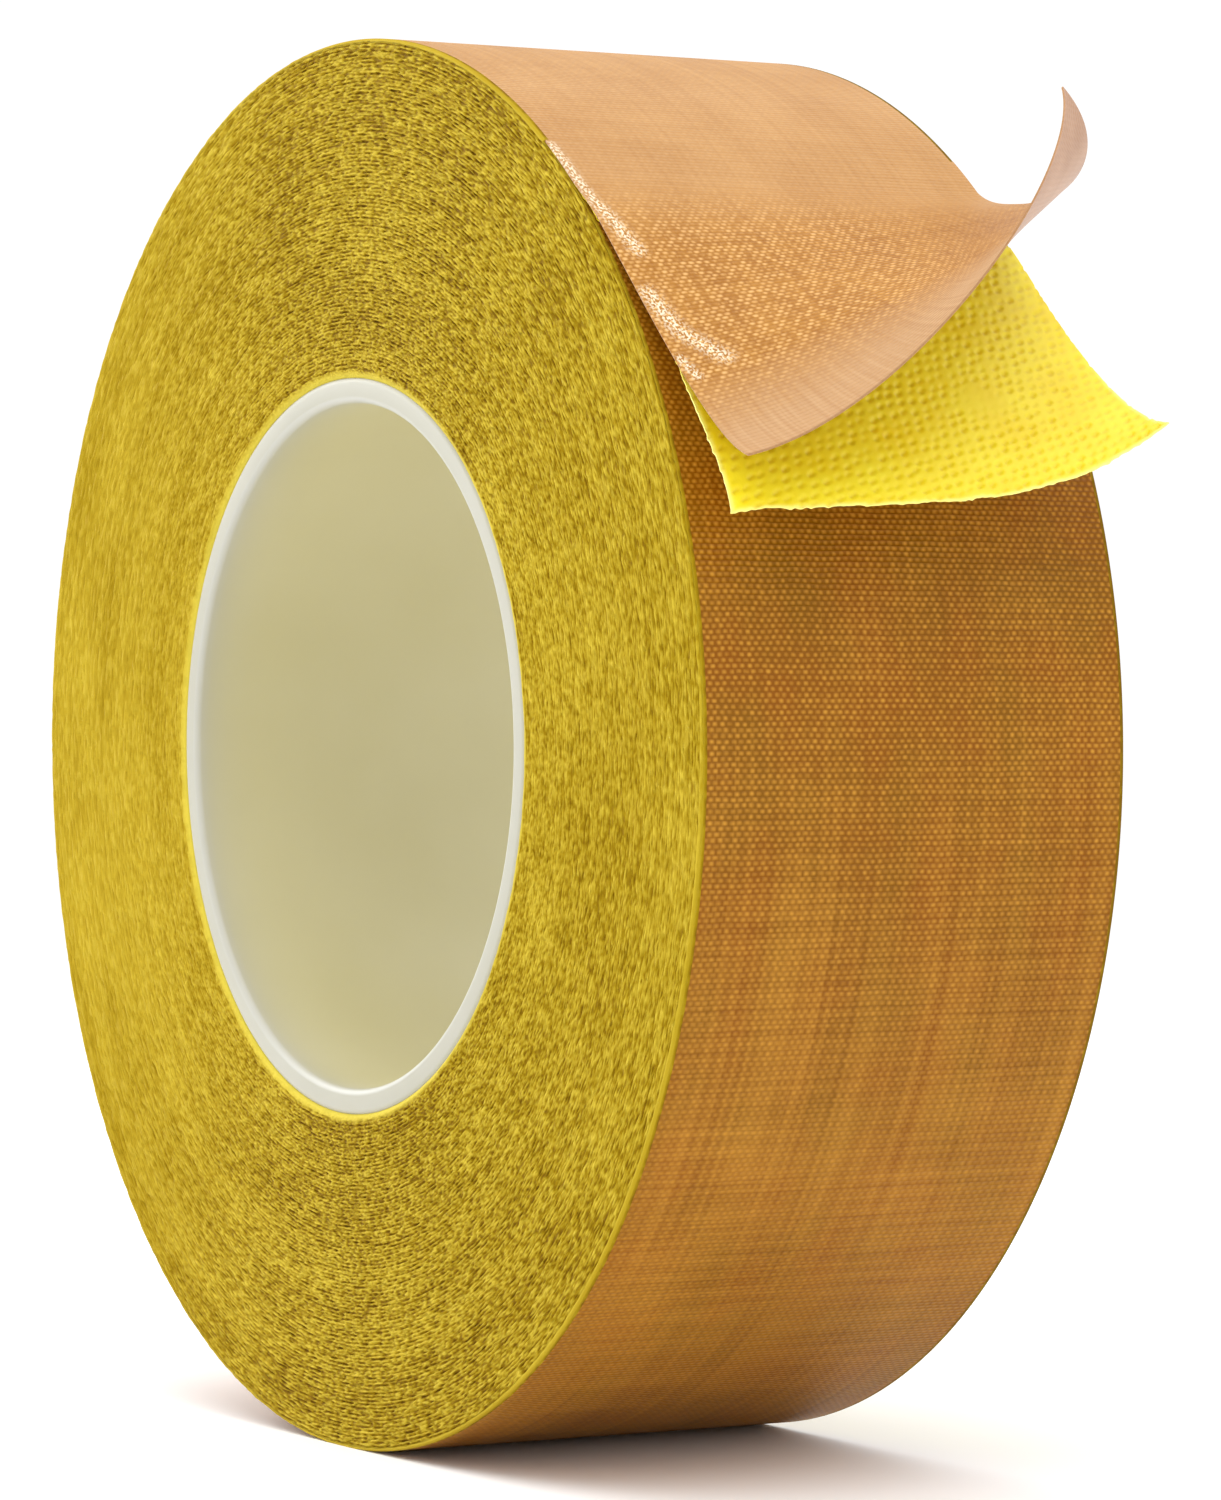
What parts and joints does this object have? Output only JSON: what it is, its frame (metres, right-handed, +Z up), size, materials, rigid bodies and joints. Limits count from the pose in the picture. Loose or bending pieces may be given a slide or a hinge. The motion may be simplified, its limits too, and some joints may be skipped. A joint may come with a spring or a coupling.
{
  "type": "adhesive tape roll",
  "caption": "Roll of glass-cloth masking tape on a plastic core, its embossed release liner wound in with it and a free end peeled off the rim.",
  "frame": {"origin": "middle of the core's bore, on the roll's axis", "axes": "Y along the roll's axis, with -Y towards the end face that is seen; +Z up as the roll stands on its rim; +X towards the side where the free end leaves the roll"},
  "size_m": [0.168, 0.0517, 0.1561],
  "materials": {
    "core_plastic": "satin",
    "starter_film": "matte",
    "liner_film": "semi-gloss, embossed",
    "adhesive": "tacky, satin",
    "coated_cloth": "coated weave, semi-gloss"
  },
  "bodies": {
    "roll": {"core": "core_plastic", "starter_tape": "starter_film", "liner_wound": "liner_film", "adhesive_wound": "adhesive", "cloth_wound": "coated_cloth"},
    "liner_end": {"liner_tail": "liner_film"},
    "cloth_end": {"adhesive_tail": "adhesive", "cloth_tail": "coated_cloth"}
  },
  "joints": [
    {"name": "free_end_lift", "type": "hinge", "parent": "roll", "child": "liner_end", "pos_m": [0.05043, 0, 0.0601], "axis": [0, -1, 0], "range_deg": [0, 70]},
    {"name": "cloth_peel", "type": "hinge", "parent": "liner_end", "child": "cloth_end", "pos_m": [0.05059, 0, 0.06029], "axis": [0, -1, 0], "range_deg": [0, 60]}
  ]
}
